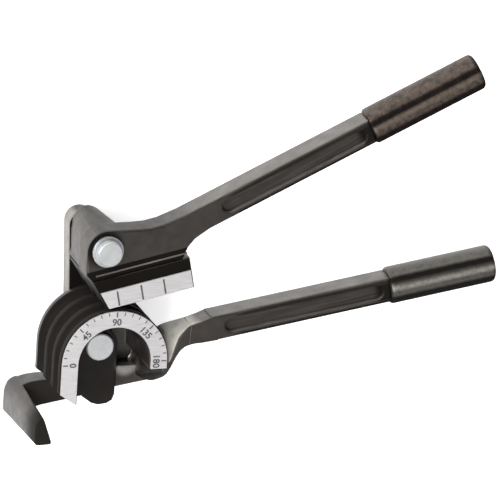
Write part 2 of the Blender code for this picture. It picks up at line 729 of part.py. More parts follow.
def build_pin(name, centre, head_low, head_radius, head_height):
    """A headed pin, necked near its back end for a retaining ring."""
    ring_low = 2 * GAP
    ring_high = ring_low + RING_THICKNESS
    tail = PIN_TAIL_RADIUS
    neck_radius = tail - RING_GROOVE_DEPTH
    profile = [
        (tail, 0), (tail, ring_low - GAP / 2), (neck_radius, ring_low - GAP / 2),
        (neck_radius, ring_high + GAP / 2), (tail, ring_high + GAP / 2), (tail, DIE_BACK),
        (PIN_RADIUS, DIE_BACK), (PIN_RADIUS, head_low),
        (head_radius, head_low), (head_radius, head_low + head_height - PIN_HEAD_EDGE),
        (head_radius - PIN_HEAD_EDGE, head_low + head_height),
    ]
    return turned(name, centre, profile, BRIGHT_ZINC)


def build_ring(name, centre):
    """An open retaining ring in the pin's groove."""
    inner = PIN_TAIL_RADIUS - RING_GROOVE_DEPTH + GAP / 2
    outer = inner + RING_WALL
    start = radians(RING_GAP_DEG / 2) + pi / 2
    sweep = 2 * pi - radians(RING_GAP_DEG)
    outline = circle(centre, outer, FINE_SEGMENTS, start, sweep)
    outline += list(reversed(circle(centre, inner, FINE_SEGMENTS, start, sweep)))
    return prism(name, outline, 2 * GAP, 2 * GAP + RING_THICKNESS, SPRING_STEEL)


def build_washer(name, centre):
    """The washer between a retaining ring and the floor of the link's pocket."""
    low = POCKET_FLOOR - GAP - WASHER_THICKNESS
    high = low + WASHER_THICKNESS
    return tube(name, centre, POCKET_RADIUS - GAP, TAIL_HOLE_RADIUS, low, high, BRIGHT_ZINC)


def main():
    """Build every piece, grouped by the body that it moves with."""
    clear_scene()
    build_forming_die()
    grip("lower_grip", LOWER_BAR_DEG, LOWER_BAR_OFFSET, LOWER_BAR_END, LOWER_GRIP_LENGTH)
    build_degree_scale()
    tube("main_bush", (0, 0), BUSH_RADIUS, PIN_HOLE_RADIUS, DIE_BACK, HUB_FRONT, BRONZE)

    collar_low = DIE_FRONT + SEAT_GAP
    collar_top = collar_low + COLLAR_HEIGHT
    swinging = [
        build_link(),
        build_pin("main_pin", (0, 0), HUB_FRONT + GAP, MAIN_HEAD_RADIUS, MAIN_HEAD_HEIGHT),
        build_washer("main_washer", (0, 0)),
        build_ring("main_retaining_ring", (0, 0)),
        build_pin("upper_pin", UPPER_PIN, collar_top + GAP, UPPER_HEAD_RADIUS, UPPER_HEAD_HEIGHT),
        build_washer("upper_washer", UPPER_PIN),
        build_ring("upper_retaining_ring", UPPER_PIN),
        tube("pin_collar", UPPER_PIN, COLLAR_RADIUS, PIN_HOLE_RADIUS, collar_low, collar_top, BRIGHT_ZINC),
    ]
    levered = [
        build_upper_handle(),
        tube("upper_bush", UPPER_PIN, BUSH_RADIUS, PIN_HOLE_RADIUS, DIE_BACK, DIE_FRONT, BRONZE),
        build_forming_shoe(),
        build_shoe_scale(),
        grip("upper_grip", UPPER_BAR_DEG, UPPER_BAR_OFFSET, UPPER_BAR_END, UPPER_GRIP_LENGTH),
    ]
    for number, (distance, z) in enumerate(shoe_screw_places(), 1):
        levered.append(build_shoe_screw(number, distance, z))
    link_axis = pivot("link_axis", (0, 0), swinging)
    pivot("handle_axis", UPPER_PIN, levered, link_axis)


main()
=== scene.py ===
"""Looks of the three-groove lever tube bender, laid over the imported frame."""

from collections import namedtuple
from functools import reduce
from math import atan2, cos, pi, radians, sin, sqrt, tau

import bmesh
import bpy
from mathutils import Matrix, Vector


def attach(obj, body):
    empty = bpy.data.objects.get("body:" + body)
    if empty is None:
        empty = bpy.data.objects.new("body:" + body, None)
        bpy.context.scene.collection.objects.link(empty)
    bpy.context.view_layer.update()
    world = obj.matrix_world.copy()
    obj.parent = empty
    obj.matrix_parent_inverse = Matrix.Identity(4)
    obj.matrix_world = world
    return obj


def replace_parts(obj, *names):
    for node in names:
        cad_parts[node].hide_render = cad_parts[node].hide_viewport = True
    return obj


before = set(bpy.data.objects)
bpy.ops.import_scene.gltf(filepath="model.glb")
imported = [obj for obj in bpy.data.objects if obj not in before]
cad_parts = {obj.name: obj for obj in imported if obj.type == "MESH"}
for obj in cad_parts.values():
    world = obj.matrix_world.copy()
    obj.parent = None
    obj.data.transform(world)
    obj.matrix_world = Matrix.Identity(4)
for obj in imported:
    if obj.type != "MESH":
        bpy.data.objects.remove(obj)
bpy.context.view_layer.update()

MM = 0.001

# The camera's line of sight and the photo's scale
CAMERA_FROM = Vector((-0.3063, 0.3335, 0.8916))
CAMERA_UP = Vector((0.051, 0.941, -0.3344))
CAMERA_AIM = Vector((60.67, 50.02, 45.3)) * MM
CAMERA_DISTANCE = 8.0
CAMERA_REACH = 30.0
SENSOR_WIDTH = 36.0
PHOTO_WIDTH = 500
PIXELS_PER_METRE = 2246.0

# Places repeated from the part's source
DIE_FRONT = 45.32 * MM
FLANGE_RADIUS = 25.0 * MM
CAVITY_RADIUS = 16.5 * MM
SCALE_FACE = DIE_FRONT + 0.95 * MM
SHOE_ANGLE = radians(12.0)
SHOE_PLANE = 25.4 * MM
SHOE_LENGTH = 42.0 * MM
MAIN_PIVOT = (0.0, 0.0, 0.0)
UPPER_PIVOT = (-6.0 * MM, 53.0 * MM, 0.0)
BAR_MIDDLE = DIE_FRONT - 6.0 * MM

# Each bar's angle and offset, its grip's start and length, and the angle of the grip's groove
Bar = namedtuple("Bar", "angle offset grip_start grip_length groove_angle")
LOWER_BAR = Bar(radians(9.6), 5.7 * MM, 130.0 * MM, 49.6 * MM, radians(34.0))
UPPER_BAR = Bar(radians(25.9), 47.3 * MM, 128.0 * MM, 55.6 * MM, radians(27.0))

# The grips' shape, the same for both but for the knurl's depth
GRIP_RADIUS = 8.4 * MM
GRIP_ROUND = 2.2 * MM
GRIP_ROUND_STEPS = 5
GRIP_CHAMFER = 1.1 * MM
GRIP_CHAMFER_SLOPE = 0.7
GROOVE_DEPTH = 0.45 * MM
GROOVE_HALF = radians(9)
KNURL_POINTS = 72
KNURL_START = 0.3 * MM
LOWER_KNURL = 0.07 * MM
UPPER_KNURL = 0.15 * MM

# Where a grip gets painted shade along its groove and underside and is darker at its end, and where it gets
# a painted sheen band: angles from the front, and a length at its end
LINE_HALF = radians(15)
LINE_STRENGTH = 1.8
DARK_END = 2.4 * MM
UNDER_START = radians(-12)
UNDER_FADE = radians(14)
SHEEN_MIDDLE = radians(7)
SHEEN_HALF = radians(13)

# The lip above the shoe: its profile's heights and distances out of the die's front, and its two ends
LIP_PROFILE = (
    (42.2 * MM, -0.2 * MM),
    (42.3 * MM, 0.22 * MM),
    (42.9 * MM, 0.30 * MM),
    (43.1 * MM, -0.2 * MM),
)
LIP_ENDS = (-2.0 * MM, SHOE_LENGTH - 1.0 * MM)

# Printed marks, where a line is a length and a width
LAST_DEGREE = 180
LINE_STEP = 9
NUMERAL_STEP = 45
LINES_EDGE = FLANGE_RADIUS - 0.8 * MM
LONG_LINE = (2.4 * MM, 0.6 * MM)
SHORT_LINE = (1.6 * MM, 0.45 * MM)
NUMERAL_RADIUS = (CAVITY_RADIUS + 0.5 * MM + FLANGE_RADIUS - 3.4 * MM) / 2
NUMERAL_SIZE = 4.3 * MM
NUMERAL_WEIGHT = 0.11 * MM
NUMERAL_HALF_DEPTH = 0.02 * MM
NUMERAL_LIFT = 0.03 * MM
SHOE_LINE = (7.0 * MM, 0.8 * MM)
SHOE_LINE_PLACES = (6.4 * MM, 17.6 * MM, 28.2 * MM)
SHOE_LINE_HEIGHT = SHOE_PLANE + 4.7 * MM
LINE_LIFT = 0.02 * MM
LINE_THICKNESS = 0.03 * MM

# Colours, each pair from dark to light
BLACK_PAINT = ((0.014, 0.0112, 0.0105), (0.022, 0.0175, 0.0165))
SHOE_PAINT = ((0.005, 0.004, 0.004), (0.010, 0.008, 0.008))
# The lip's lighter paint is a painted highlight
LIP_PAINTED_HIGHLIGHT = ((0.06, 0.055, 0.05), (0.13, 0.12, 0.11))
# Lighter than the upper pin's zinc: painted light on the main pin, deep in the die's hollow
MAIN_ZINC_PAINTED_LIGHT = (0.60, 0.61, 0.62)
UPPER_ZINC = (0.46, 0.47, 0.47)
COLLAR_ZINC = (0.50, 0.52, 0.54)
WASHER_ZINC = (0.55, 0.56, 0.57)
SPRING_STEEL = (0.16, 0.16, 0.17)
BRONZE = (0.42, 0.27, 0.12)
LOWER_RUBBER = ((0.022, 0.020, 0.016), (0.046, 0.043, 0.035))
# A lighter band on the lower grip: painted sheen
LOWER_PAINTED_SHEEN = (0.38, 0.365, 0.33)
UPPER_RUBBER = ((0.013, 0.009, 0.006), (0.075, 0.052, 0.040))
# A lighter band on the upper grip: painted sheen
UPPER_PAINTED_SHEEN = (0.16, 0.13, 0.105)
SILVER = ((0.43, 0.415, 0.42), (0.54, 0.525, 0.53))
INK = ((0.035, 0.032, 0.034), (0.12, 0.11, 0.115))
PAINT_SPECKS = (0.11, 0.10, 0.095)
BARE_CASTING = (0.20, 0.19, 0.18)
# A pale colour laid over lit faces: painted light
PAINTED_LIGHT = (0.46, 0.44, 0.40)
# Near-black laid over shaded places of the castings: painted shade
PAINTED_SHADE = (0.007, 0.006, 0.005)
STAIN = (0.40, 0.375, 0.35)
GRIP_SHADE = (0.006, 0.005, 0.005)
WARM = (1.0, 0.955, 0.89)
MATT = (0.95, 0.95, 0.95)

# Gloss, and the shares of specks, worn edges, grain, stains, turning marks and the grips' dark places
PAINT_IOR = 1.53
LOWER_RUBBER_IOR = 1.7
UPPER_RUBBER_IOR = 1.42
FULL_SPECULAR = 0.5
LOST_SPECULAR = -0.46
SPECKS_SHARE = 0.16
EDGE_WEAR = 0.5
BARE_METAL = 0.8
GRAIN_SHARE = 0.35
STAINS_SHARE = 0.25
TURNING_SHARE = 0.6
GRIP_SHADE_SHARE = 0.9

# Each surface's bump as a strength and a depth, and how far its edges look rounded
PAINT_BUMP = (0.22, 0.12 * MM)
METAL_BUMP = (0.12, 0.05 * MM)
PLATE_BUMP = (0.10, 0.04 * MM)
RUBBER_BUMP = (0.3, 0.12 * MM)
INK_BUMP = (0.1, 0.02 * MM)
CASTING_EDGE = 0.8 * MM
DIE_EDGE = 1.6 * MM
METAL_EDGE = 0.3 * MM
PLATE_EDGE = 0.2 * MM
RUBBER_EDGE = 0.3 * MM

# How much a face looks forward, down, left or up: the mask's start and where it is full
FRONT_FACING = 0.7
DOWN_FACING = (-0.15, -0.6)
LEFT_FACING = (-0.3, -0.7)
UP_FACING = (0.45, 0.8)
NOT_UP_FACING = (0.5, 0.2)
NOT_FRONT_FACING = (0.85, 0.6)
NOT_DOWN_FACING = (-0.3, 0.0)

# The studio: sizes in metres, powers in watts
FLOOR_SIZE = 6.0
FLOOR_LEVEL = -0.2 * MM
FLOOR_GLOW = 0.60
WORLD_SEEN = 0.1
WORLD_UNSEEN = 0.25
LAMP_AIM = Vector((0.05, 0.05, 0.02))
Lamp = namedtuple("Lamp", "name place width height power")
LAMPS = (
    Lamp("key", (-0.75, 0.35, 0.55), 0.6, 0.6, 9.0),
    Lamp("top", (-0.10, 0.95, 0.30), 0.8, 0.35, 4.0),
    Lamp("strip", (-0.24, -0.17, 0.95), 0.9, 0.22, 7.0),
    Lamp("sheen", (0.36, -0.28, 0.92), 0.9, 0.45, 0.35),
    Lamp("fill", (0.45, -0.85, 0.40), 0.8, 0.5, 3.0),
)


def rgba(colour):
    """A colour with full alpha, from three values or from one grey."""
    return (*colour, 1.0) if isinstance(colour, tuple) else (colour, colour, colour, 1.0)


def axes_at(angle):
    """The directions along and across a line at an angle from +X."""
    return Vector((cos(angle), sin(angle), 0)), Vector((-sin(angle), cos(angle), 0))


class Tree:
    """A node tree built by short calls."""

    def __init__(self, tree):
        self.tree = tree

    def node(self, kind, settings=None, **inputs):
        """Add a node. Inputs are values or sockets, by name, or by number as in i0."""
        made = self.tree.nodes.new("ShaderNode" + kind)
        for key, value in (settings or {}).items():
            setattr(made, key, value)
        for key, value in inputs.items():
            numbered = key[0] == "i" and key[1:].isdigit()
            self.fill(made.inputs[int(key[1:]) if numbered else key], value)
        return made

    def fill(self, socket, value):
        """Link another socket to a socket, or set its value."""
        if isinstance(value, bpy.types.NodeSocket):
            self.tree.links.new(value, socket)
        else:
            socket.default_value = value

    def maths(self, operation, a, b=0.0, c=0.0):
        """One maths step."""
        return self.node("Math", {"operation": operation}, i0=a, i1=b, i2=c).outputs["Value"]

    def times(self, *values):
        """The product of masks and strengths."""
        return reduce(lambda a, b: self.maths("MULTIPLY", a, b), values)

    def most(self, *values):
        """The largest of several masks."""
        return reduce(lambda a, b: self.maths("MAXIMUM", a, b), values)

    def seen(self):
        """A mask of the rays that show a surface directly, in a reflection or through another."""
        rays = self.node("LightPath").outputs
        return self.most(rays["Is Camera Ray"], rays["Is Glossy Ray"], rays["Is Transmission Ray"])


class Shader(Tree):
    """The node tree of a new material."""

    def __init__(self, name):
        self.material = bpy.data.materials.new(name)
        self.material.use_nodes = True
        super().__init__(self.material.node_tree)
        self.surface = self.tree.nodes["Principled BSDF"]
        places = self.node("TexCoord").outputs
        self.coords = places["Object"]
        self.normals = places["Normal"]

    def noise(self, scale, detail=3.0, roughness=0.55, vector=None):
        """A noise texture's factor."""
        made = self.node("TexNoise", Scale=scale, Detail=detail, Roughness=roughness,
                         Vector=vector or self.coords)
        return made.outputs["Fac"]

    def ramp(self, factor, *stops):
        """A colour ramp with (position, colour) stops."""
        made = self.node("ValToRGB", Fac=factor)
        for element, (position, colour) in zip(made.color_ramp.elements, stops, strict=True):
            element.position = position
            element.color = rgba(colour)
        return made.outputs["Color"]

    def cover(self, mask, under, colour):
        """A colour laid over another through a mask."""
        return self.node("Mix", {"data_type": "RGBA"}, i0=mask, i6=under, i7=rgba(colour)).outputs[2]

    def at(self, axis):
        """One coordinate of a point of the object."""
        return self.node("SeparateXYZ", Vector=self.coords).outputs[axis]

    def facing(self, axis):
        """How much a face looks along an axis of the object, from -1 to 1."""
        return self.node("SeparateXYZ", Vector=self.normals).outputs[axis]

    def front(self):
        """A mask of the faces towards the scale side."""
        return self.above(self.facing("Z"), FRONT_FACING)

    def along(self, direction, start):
        """The distance of a point of the object along a direction, from a start."""
        made = self.node("VectorMath", {"operation": "DOT_PRODUCT"}, i0=self.coords, i1=direction)
        return self.maths("SUBTRACT", made.outputs["Value"], start)

    def away(self, vector, point):
        """The distance between a vector's end and a point."""
        return self.node("VectorMath", {"operation": "DISTANCE"}, i0=vector, i1=point).outputs["Value"]

    def from_axis(self):
        """The distance of a point of the object from the die's axis."""
        flat = self.node("VectorMath", {"operation": "MULTIPLY"}, i0=self.coords, i1=(1, 1, 0))
        return self.away(flat.outputs["Vector"], MAIN_PIVOT)

    def near(self, centre, radius):
        """A mask that is 1 up to half a radius round a point and fades out to the radius."""
        return self.step(self.away(self.coords, centre), radius, 0.5 * radius)

    def above(self, value, limit):
        """A mask of the values above a limit."""
        return self.maths("GREATER_THAN", value, limit)

    def below(self, value, limit):
        """A mask of the values below a limit."""
        return self.maths("LESS_THAN", value, limit)

    def step(self, value, low, high):
        """A smooth step from 0 at low to 1 at high."""
        made = self.node("MapRange", {"interpolation_type": "SMOOTHSTEP"}, i0=value, i1=low, i2=high)
        return made.outputs["Result"]

    def band(self, value, low, high, fade):
        """A mask that is 1 between two values and fades out beyond them."""
        return self.times(self.step(value, low - fade, low), self.step(value, high + fade, high))

    def bump(self, height, strength, distance, below=None):
        """A bump, optionally on top of another normal."""
        made = self.node("Bump", Height=height, Strength=strength, Distance=distance)
        if below:
            self.fill(made.inputs["Normal"], below)
        return made.outputs["Normal"]

    def soft_normal(self, radius):
        """A normal that is rounded at edges."""
        return self.node("Bevel", {"samples": 6}, Radius=radius).outputs["Normal"]

    def edges(self, soft):
        """A mask that is bright where a soft normal leaves the true one."""
        true = self.node("NewGeometry").outputs["Normal"]
        made = self.node("VectorMath", {"operation": "DOT_PRODUCT"}, i0=soft, i1=true)
        return self.maths("SUBTRACT", 1.0, made.outputs["Value"])

    def specular(self, dim):
        """A specular level that falls from its full value as a mask rises."""
        return self.maths("MULTIPLY_ADD", dim, LOST_SPECULAR, FULL_SPECULAR)

    def put(self, **inputs):
        """Set sockets of the surface shader, with _ for a space in a name."""
        for key, value in inputs.items():
            self.fill(self.surface.inputs[key.replace("_", " ")], value)
        return self.material


def painted_casting(name, dark, light, wear=1.0, shade=None, painted_light_mask=None, edge=CASTING_EDGE, plain=None):
    """Semi-gloss paint over a cast surface, thin along edges, with masks of painted shade, painted light
    and plain places.
    """
    s = Shader(name)
    normal = s.soft_normal(edge)
    edges = s.edges(normal)
    if plain:
        normal = s.node("Mix", {"data_type": "VECTOR"}, i0=plain(s), i4=normal, i5=(0, 0, 1)).outputs[1]
    colour = s.ramp(s.noise(45.0), (0.35, dark), (0.65, light))
    specks = s.ramp(s.noise(1600.0, 1.0), (0.68, 0.0), (0.74, 1.0))
    colour = s.cover(s.times(specks, SPECKS_SHARE), colour, PAINT_SPECKS)
    broken = s.ramp(s.noise(420.0), (0.42, 0.0), (0.62, 1.0))
    worn = s.times(s.ramp(edges, (0.08, 0.0), (0.30, 1.0)), broken, EDGE_WEAR * wear)
    colour = s.cover(worn, colour, BARE_CASTING)
    # Painted light: a pale colour over the faces the mask picks
    if painted_light_mask:
        colour = s.cover(painted_light_mask(s), colour, PAINTED_LIGHT)
    rough = s.ramp(s.noise(210.0), (0.3, 0.30), (0.7, 0.46))
    grain = s.times(s.noise(900.0, 4.0), GRAIN_SHARE)
    height = s.maths("ADD", grain, s.noise(140.0, 2.0))
    s.put(Base_Color=colour, Roughness=rough, Metallic=s.times(worn, BARE_METAL), IOR=PAINT_IOR,
          Specular_Tint=rgba(WARM), Normal=s.bump(height, *PAINT_BUMP, normal))
    # Painted shade: near-black, matt and less glossy where the shade mask is full
    if shade:
        dim = shade(s)
        s.put(Base_Color=s.cover(dim, colour, PAINTED_SHADE), Roughness=s.cover(dim, rough, MATT),
              Specular_IOR_Level=s.specular(dim))
    return s.material


# The die's painted shade on its grooves, hub and undersides, and its darkening towards the hook's tip:
# their limits, and how dark each is
GROOVES_INNER = CAVITY_RADIUS + 1.0 * MM
GROOVES_OUTER = FLANGE_RADIUS + 3.8 * MM
GROOVES_BACK = 11.6 * MM
GROOVES_LOW = -14.6 * MM
GROOVES_SHADE = 0.72
HORN_LEFT = 10.0 * MM
HORN_TOP = 14.0 * MM
HUB_RIGHT = 9.5 * MM
HUB_FRONT = 24.0 * MM
HUB_SHADE = 0.65
UNDER_SHADE = 0.9
TIP_DOWN = (-18.0 * MM, -23.0 * MM)
TIP_FORWARD = (26.0 * MM, 46.0 * MM)
TIP_DARK = 0.75


def die_shade(s):
    """A mask of painted shade on the die's grooves, hub, undersides and bar, darker too towards the hook's
    tip.
    """
    x, y, z = s.at("X"), s.at("Y"), s.at("Z")
    radius = s.from_axis()
    rim = s.times(s.above(radius, GROOVES_INNER), s.below(radius, GROOVES_OUTER))
    off_horn = s.most(s.below(x, HORN_LEFT), s.above(y, HORN_TOP))
    off_hook = s.times(s.above(z, GROOVES_BACK), s.above(y, GROOVES_LOW))
    grooves = s.times(rim, off_horn, off_hook, GROOVES_SHADE)
    hub = s.times(s.front(), s.below(z, HUB_FRONT), s.below(x, HUB_RIGHT), HUB_SHADE)
    under = s.times(s.step(s.facing("Y"), *DOWN_FACING), UNDER_SHADE)
    tip = s.times(s.step(y, *TIP_DOWN), s.step(z, *TIP_FORWARD), TIP_DARK)
    return s.most(grooves, hub, under, tip, bar_shade(s, LOWER_BAR))


# Bands across a bar's front as low edge, high edge and fade, and stretches along it as start and end
BAR_LIP = (-7.0 * MM, -4.6 * MM, 0.5 * MM)
BAR_RIM = (3.6 * MM, 4.6 * MM, 0.5 * MM)
BAR_POCKET = (-4.0 * MM, 3.0 * MM, 1.0 * MM)
# How dark the painted shade is on a bar's rim and front
RIM_SHADE = 0.8
BAR_FRONT_SHADE = 0.9
POCKET_END = (-9.0 * MM, -4.0 * MM)
ROOT_END = (0.40, 0.48)
STREAK_SCALE = (30.0, 800.0)
STREAK_LIGHT = 0.05


def bar_places(s, bar):
    """The distances across and along a bar, and a mask of the bar without its root."""
    along, across = axes_at(bar.angle)
    foot = Vector((0, bar.offset, 0))
    length = s.along(along, foot.dot(along))
    off_root = s.step(length, ROOT_END[0] * bar.grip_start, ROOT_END[1] * bar.grip_start)
    return s.along(across, foot.dot(across)), length, off_root


def bar_shade(s, bar):
    """A mask of painted shade on a bar's front: along its lower lip and upper rim, and at the end of its
    pocket.
    """
    across, length, off_root = bar_places(s, bar)
    rim = s.times(s.band(across, *BAR_RIM), RIM_SHADE)
    lines = s.times(s.most(s.band(across, *BAR_LIP), rim), off_root)
    end = s.step(length, bar.grip_start + POCKET_END[0], bar.grip_start + POCKET_END[1])
    pocket = s.times(s.band(across, *BAR_POCKET), end)
    return s.times(s.most(lines, pocket), s.front(), BAR_FRONT_SHADE)


def bar_streaks(s, bar):
    """A mask of faint lengthwise streaks of painted light on a bar's front."""
    across, length, off_root = bar_places(s, bar)
    places = s.node("CombineXYZ", X=s.times(length, STREAK_SCALE[0]), Y=s.times(across, STREAK_SCALE[1]))
    streaks = s.noise(1.0, 2.0, vector=places.outputs["Vector"])
    return s.times(s.ramp(streaks, (0.44, 0.0), (0.66, STREAK_LIGHT)), off_root, s.front())


# The head's step of painted shade, the painted shadow round its pin, and how far the painted shade on its
# sides and the painted light on its left face reach
HEAD_STEP = (45.5 * MM, 45.0 * MM)
PIN_SHADOW = (-8.0 * MM, 54.8 * MM, DIE_FRONT)
PIN_SHADOW_RADIUS = 12.0 * MM
HEAD_SIDES = (26.0 * MM, 8.0 * MM)
HEAD_SIDES_SHADE = 0.22
HEAD_LEFT = (5.0 * MM, -2.0 * MM)
HEAD_LEFT_LIGHT = 0.3


def head_shade(s):
    """A mask of painted shade on the head's step and sides, a painted shadow round its pin, and the bar's
    painted shade.
    """
    up = axes_at(SHOE_ANGLE)[1]
    step = s.step(s.along(up, 0.0), *HEAD_STEP)
    front = s.times(s.most(step, s.near(PIN_SHADOW, PIN_SHADOW_RADIUS)), s.front())
    turned = s.maths("SUBTRACT", 1.0, s.front())
    sides = s.times(turned, s.step(s.at("X"), *HEAD_SIDES), HEAD_SIDES_SHADE)
    return s.most(front, sides, bar_shade(s, UPPER_BAR))


def side_dust(s):
    """A mask of painted light on the left-facing faces, away from the handles, mottled."""
    cloud = s.ramp(s.noise(160.0, 4.0), (0.3, 0.28), (0.7, 0.48))
    return s.times(s.step(s.facing("X"), *LEFT_FACING), cloud)


def handle_dust(s):
    """A mask of painted light on the handle's upper faces and bar streaks, and on the head's left face."""
    left = s.times(side_dust(s), s.step(s.at("X"), *HEAD_LEFT), HEAD_LEFT_LIGHT)
    return s.most(left, top_dust(s), bar_streaks(s, UPPER_BAR))


# Stretches of the die's neck, horn and spine, and where the painted light on the bars' tops begins
TOPS_START = (24.0 * MM, 44.0 * MM)
NECK = (34.5 * MM, 49.0 * MM, 1.5 * MM)
HORN_ACROSS = (12.0 * MM, 36.0 * MM, 6.0 * MM)
HORN_FORWARD = (22.0 * MM, 30.0 * MM)
HORN_OUT = (FLANGE_RADIUS, FLANGE_RADIUS + 1.5 * MM)
SPINE_PLACE = (13.5 * MM, -10.0 * MM, 21.0 * MM)
SPINE_RADIUS = 7.0 * MM
SPINE_LIGHT = 0.5


def neck_front(s):
    """A mask of the neck's front, where its small steps are smoothed away."""
    return s.times(s.band(s.at("X"), *NECK), s.step(s.facing("Y"), *NOT_UP_FACING))


def top_dust(s):
    """A mask of mottled painted light on the bars' upper faces."""
    cloud = s.ramp(s.noise(120.0, 4.0), (0.3, 0.10), (0.7, 0.24))
    return s.times(s.step(s.facing("Y"), *UP_FACING), s.step(s.at("X"), *TOPS_START), cloud)


def die_dust(s):
    """A mask of painted light on the die: its horn, its spine, and its bar's top and streaks."""
    turned = s.times(s.step(s.facing("Z"), *NOT_FRONT_FACING), s.step(s.facing("Y"), *NOT_DOWN_FACING))
    place = s.times(s.band(s.at("X"), *HORN_ACROSS), s.step(s.at("Z"), *HORN_FORWARD))
    horn = s.times(turned, place, s.step(s.from_axis(), *HORN_OUT))
    spine = s.times(s.near(SPINE_PLACE, SPINE_RADIUS), SPINE_LIGHT)
    cloud = s.ramp(s.noise(300.0), (0.3, 0.75), (0.6, 1.0))
    return s.most(s.times(s.most(horn, spine), cloud), top_dust(s), bar_streaks(s, LOWER_BAR))


def plated_steel(name, tone, roughness, centre=None, metal=1.0):
    """Plated or bare metal with faint scratches, and turning marks where it has a centre."""
    s = Shader(name)
    low = tuple(0.88 * part for part in tone)
    colour = s.ramp(s.noise(260.0), (0.3, low), (0.7, tone))
    dull = s.ramp(s.noise(700.0, 4.0), (0.3, 0.8 * roughness), (0.7, 1.35 * roughness))
    height = s.noise(2400.0, 2.0)
    if centre:
        offset = s.node("VectorMath", {"operation": "SUBTRACT"}, i0=s.coords, i1=centre).outputs["Vector"]
        marks = s.node("TexWave", {"wave_type": "RINGS", "rings_direction": "Z"}, Vector=offset,
                       Scale=420.0, Distortion=0.6).outputs["Fac"]
        height = s.maths("ADD", height, s.times(marks, TURNING_SHARE))
    normal = s.bump(height, *METAL_BUMP, s.soft_normal(METAL_EDGE))
    return s.put(Base_Color=colour, Roughness=dull, Metallic=metal, Normal=normal)


def scale_plate(name):
    """Satin silver plate with fine brushing and small stains."""
    s = Shader(name)
    brushed = s.node("Mapping", Vector=s.coords, Scale=(140.0, 2600.0, 300.0)).outputs["Vector"]
    brush = s.noise(1.0, vector=brushed)
    colour = s.ramp(brush, (0.3, SILVER[0]), (0.7, SILVER[1]))
    stains = s.ramp(s.noise(300.0, 4.0), (0.56, 0.0), (0.72, 1.0))
    colour = s.cover(s.times(stains, STAINS_SHARE), colour, STAIN)
    rough = s.ramp(brush, (0.3, 0.36), (0.7, 0.50))
    normal = s.bump(brush, *PLATE_BUMP, s.soft_normal(PLATE_EDGE))
    return s.put(Base_Color=colour, Roughness=rough, Metallic=0.35, Normal=normal)


def grip_rubber(name, dark, light, painted_sheen, ior):
    """Glossy moulded rubber with a fine grain, a painted sheen band and painted shade where the grip's
    marks say.
    """
    s = Shader(name)
    marks = s.node("SeparateXYZ", Vector=s.node("TexCoord").outputs["UV"]).outputs
    colour = s.ramp(s.noise(380.0, 4.0, 0.65), (0.34, dark), (0.62, light))
    # Painted shade along the groove and underside, and darker at the end, where the second mark says
    colour = s.cover(s.times(marks["Y"], GRIP_SHADE_SHARE), colour, GRIP_SHADE)
    # Painted sheen: a lighter band where the first mark says
    colour = s.cover(s.times(marks["X"], s.noise(500.0)), colour, painted_sheen)
    rough = s.ramp(s.noise(330.0), (0.3, 0.26), (0.7, 0.44))
    normal = s.bump(s.noise(700.0), *RUBBER_BUMP, s.soft_normal(RUBBER_EDGE))
    return s.put(Base_Color=colour, Roughness=s.cover(marks["Y"], rough, MATT), Normal=normal, IOR=ior,
                 Specular_Tint=rgba(WARM), Specular_IOR_Level=s.specular(marks["Y"]))


def ink(name):
    """Printed marks, thin in places."""
    s = Shader(name)
    worn = s.noise(1200.0)
    colour = s.ramp(worn, (0.35, INK[0]), (0.75, INK[1]))
    return s.put(Base_Color=colour, Roughness=0.6, Normal=s.bump(worn, *INK_BUMP))


def give(material, *nodes):
    """Put a material on nodes that keep their CAD shape."""
    for node in nodes:
        for slot in bpy.data.objects[node].material_slots:
            slot.link = "OBJECT"
            slot.material = material


def dress_nodes():
    """Materials for the nodes that keep their CAD shape."""
    give(painted_casting("handle_paint", *BLACK_PAINT, shade=head_shade, painted_light_mask=handle_dust), "upper_handle")
    # The link's front faces get painted shade; the shoe's front faces are darkened the same way.
    give(painted_casting("link_paint", *BLACK_PAINT, wear=0.6, shade=Shader.front, painted_light_mask=side_dust),
         "link_plate")
    give(painted_casting("shoe_paint", *SHOE_PAINT, wear=0.3, shade=Shader.front), "forming_shoe")
    give(painted_casting("die_paint", *BLACK_PAINT, wear=0.3, shade=die_shade, painted_light_mask=die_dust,
                         edge=DIE_EDGE, plain=neck_front), "forming_die")
    # The main pin's zinc is lighter than the upper pin's: painted light against the shade of the die's
    # hollow
    main_zinc_painted_light = plated_steel("main_pin_zinc_painted_light", MAIN_ZINC_PAINTED_LIGHT, roughness=0.45, centre=MAIN_PIVOT, metal=0.5)
    upper_zinc = plated_steel("upper_pin_zinc", UPPER_ZINC, roughness=0.45, centre=UPPER_PIVOT, metal=0.5)
    collar_zinc = plated_steel("collar_zinc", COLLAR_ZINC, roughness=0.34, centre=UPPER_PIVOT, metal=0.8)
    give(main_zinc_painted_light, "main_pin")
    give(upper_zinc, "upper_pin")
    give(collar_zinc, "pin_collar")
    give(plated_steel("washer_zinc", WASHER_ZINC, roughness=0.38), "main_washer", "upper_washer")
    give(plated_steel("spring_steel", SPRING_STEEL, roughness=0.36),
         "main_retaining_ring", "upper_retaining_ring", "shoe_screw_1", "shoe_screw_2")
    give(plated_steel("bearing_bronze", BRONZE, roughness=0.36), "main_bush", "upper_bush")
    give(scale_plate("scale_silver"), "degree_scale", "shoe_scale")


def add_piece(name, mesh, material, body):
    """Show a mesh as a piece that rides on a body."""
    mesh.materials.clear()
    mesh.materials.append(material)
    piece = bpy.data.objects.new(name, mesh)
    bpy.context.scene.collection.objects.link(piece)
    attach(piece, body)
    return piece


def finish_piece(name, bm, material, body):
    """Show what was drawn in a bmesh as a piece."""
    mesh = bpy.data.meshes.new(name)
    bm.to_mesh(mesh)
    bm.free()
    return add_piece(name, mesh, material, body)


